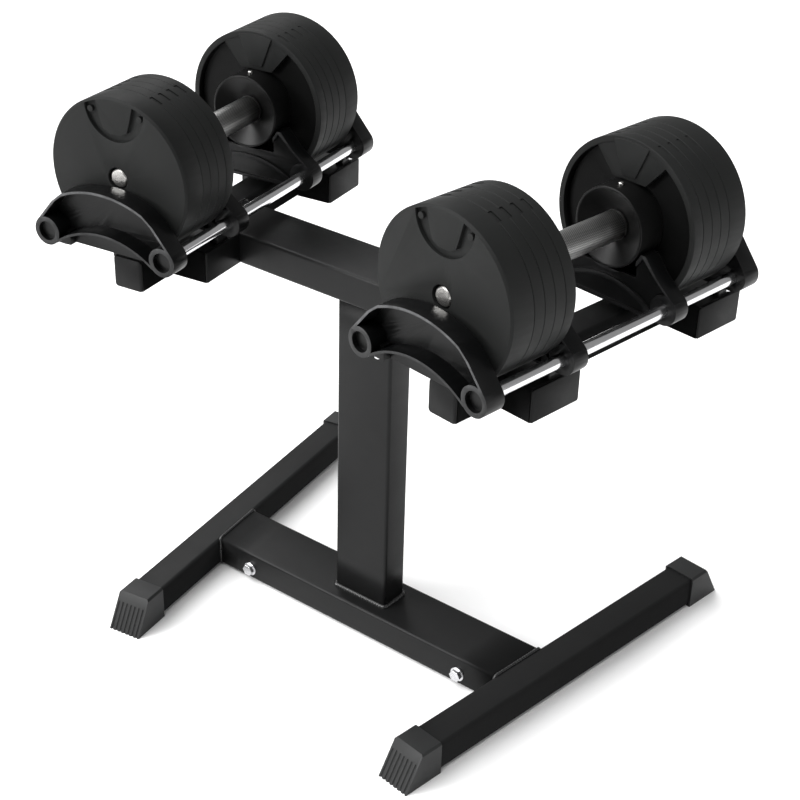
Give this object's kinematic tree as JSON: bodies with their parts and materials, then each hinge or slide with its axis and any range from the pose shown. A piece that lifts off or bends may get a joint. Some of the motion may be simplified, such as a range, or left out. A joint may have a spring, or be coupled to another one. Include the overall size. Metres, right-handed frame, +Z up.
{
  "type": "adjustable dumbbell pair with stand",
  "caption": "Pair of twist-grip adjustable dumbbells with stacked round plates, each resting in a two-tube cradle on a splayed floor stand.",
  "frame": {"origin": "on the floor, under the middle of the object", "axes": "+X along the cross beams, +Y away from the user along the dumbbells, +Z up"},
  "size_m": [0.7548, 0.5764, 0.698],
  "materials": {
    "powder_steel": "satin powder coat",
    "moulded_cap": "moulded, ribbed nose",
    "tray_moulding": "glossy moulded nylon",
    "hub_casing": "satin",
    "bright_bar": "turned, bright",
    "coated_plate": "fine-grained satin coating",
    "chrome_tube": "polished",
    "knurled_steel": "knurled",
    "plain_steel": "drawn, oiled",
    "zinc_fastener": "zinc plated"
  },
  "bodies": {
    "stand": {"base_beam": "powder_steel", "top_beam": "powder_steel", "upright_post": "powder_steel", "left_foot_rail": "powder_steel", "left_carrier": "powder_steel", "left_near_cap": "moulded_cap", "left_near_arch": "tray_moulding", "left_near_saddle": "tray_moulding", "left_far_cap": "moulded_cap", "left_far_arch": "tray_moulding", "left_far_saddle": "tray_moulding", "left_inner_support_tube": "chrome_tube", "left_outer_support_tube": "chrome_tube", "right_foot_rail": "powder_steel", "right_carrier": "powder_steel", "right_near_cap": "moulded_cap", "right_near_arch": "tray_moulding", "right_near_saddle": "tray_moulding", "right_far_cap": "moulded_cap", "right_far_arch": "tray_moulding", "right_far_saddle": "tray_moulding", "right_inner_support_tube": "chrome_tube", "right_outer_support_tube": "chrome_tube", "frame_bolts": "zinc_fastener", "boss_screws": "zinc_fastener", "tube_plugs": "moulded_cap"},
    "left_dumbbell": {"left_core_tube": "plain_steel", "left_near_hub": "hub_casing", "left_far_hub": "hub_casing", "left_near_cup_plate": "coated_plate", "left_near_second_plate": "coated_plate", "left_near_third_plate": "coated_plate", "left_near_fourth_plate": "coated_plate", "left_near_outer_plate": "coated_plate", "left_far_cup_plate": "coated_plate", "left_far_second_plate": "coated_plate", "left_far_third_plate": "coated_plate", "left_far_fourth_plate": "coated_plate", "left_far_outer_plate": "coated_plate"},
    "left_grip_sleeve": {"left_grip": "knurled_steel"},
    "left_near_bar": {"left_near_selector_bar": "bright_bar"},
    "left_far_bar": {"left_far_selector_bar": "bright_bar"},
    "left_pin": {"left_lock_pin": "bright_bar"},
    "right_dumbbell": {"right_core_tube": "plain_steel", "right_near_hub": "hub_casing", "right_far_hub": "hub_casing", "right_near_cup_plate": "coated_plate", "right_near_second_plate": "coated_plate", "right_near_third_plate": "coated_plate", "right_near_fourth_plate": "coated_plate", "right_near_outer_plate": "coated_plate", "right_far_cup_plate": "coated_plate", "right_far_second_plate": "coated_plate", "right_far_third_plate": "coated_plate", "right_far_fourth_plate": "coated_plate", "right_far_outer_plate": "coated_plate"},
    "right_grip_sleeve": {"right_grip": "knurled_steel"},
    "right_near_bar": {"right_near_selector_bar": "bright_bar"},
    "right_far_bar": {"right_far_selector_bar": "bright_bar"},
    "right_pin": {"right_lock_pin": "bright_bar"}
  },
  "joints": [
    {"name": "left_lift_out", "type": "slide", "parent": "stand", "child": "left_dumbbell", "axis": [0, 0, 1], "range_m": [0, 0.3]},
    {"name": "left_grip_turn", "type": "hinge", "parent": "left_dumbbell", "child": "left_grip_sleeve", "pos_m": [-0.25, -0.05638, 0.605], "axis": [-0.1469, 0.9891, 0], "range_deg": [0, 324]},
    {"name": "left_near_bar_slide", "type": "slide", "parent": "left_dumbbell", "child": "left_near_bar", "axis": [-0.1469, 0.9891, 0], "range_m": [0, 0.084]},
    {"name": "left_far_bar_slide", "type": "slide", "parent": "left_dumbbell", "child": "left_far_bar", "axis": [0.1469, -0.9891, 0], "range_m": [0, 0.084]},
    {"name": "left_lock_press", "type": "slide", "parent": "left_dumbbell", "child": "left_pin", "axis": [0, 0, -1], "range_m": [0, 0.0024], "stiffness_N_per_m": 600, "springref_m": -0.002},
    {"name": "right_lift_out", "type": "slide", "parent": "stand", "child": "right_dumbbell", "axis": [0, 0, 1], "range_m": [0, 0.3]},
    {"name": "right_grip_turn", "type": "hinge", "parent": "right_dumbbell", "child": "right_grip_sleeve", "pos_m": [0.25, -0.05638, 0.605], "axis": [0.1469, 0.9891, 0], "range_deg": [0, 324]},
    {"name": "right_near_bar_slide", "type": "slide", "parent": "right_dumbbell", "child": "right_near_bar", "axis": [0.1469, 0.9891, 0], "range_m": [0, 0.084]},
    {"name": "right_far_bar_slide", "type": "slide", "parent": "right_dumbbell", "child": "right_far_bar", "axis": [-0.1469, -0.9891, 0], "range_m": [0, 0.084]},
    {"name": "right_lock_press", "type": "slide", "parent": "right_dumbbell", "child": "right_pin", "axis": [0, 0, -1], "range_m": [0, 0.0024], "stiffness_N_per_m": 600, "springref_m": -0.002}
  ],
  "couplings": [
    {"joint": "left_near_bar_slide", "follows": "left_grip_turn", "m_per_rad": 0.0148},
    {"joint": "left_far_bar_slide", "follows": "left_grip_turn", "m_per_rad": 0.0148},
    {"joint": "right_near_bar_slide", "follows": "right_grip_turn", "m_per_rad": 0.0148},
    {"joint": "right_far_bar_slide", "follows": "right_grip_turn", "m_per_rad": 0.0148}
  ]
}
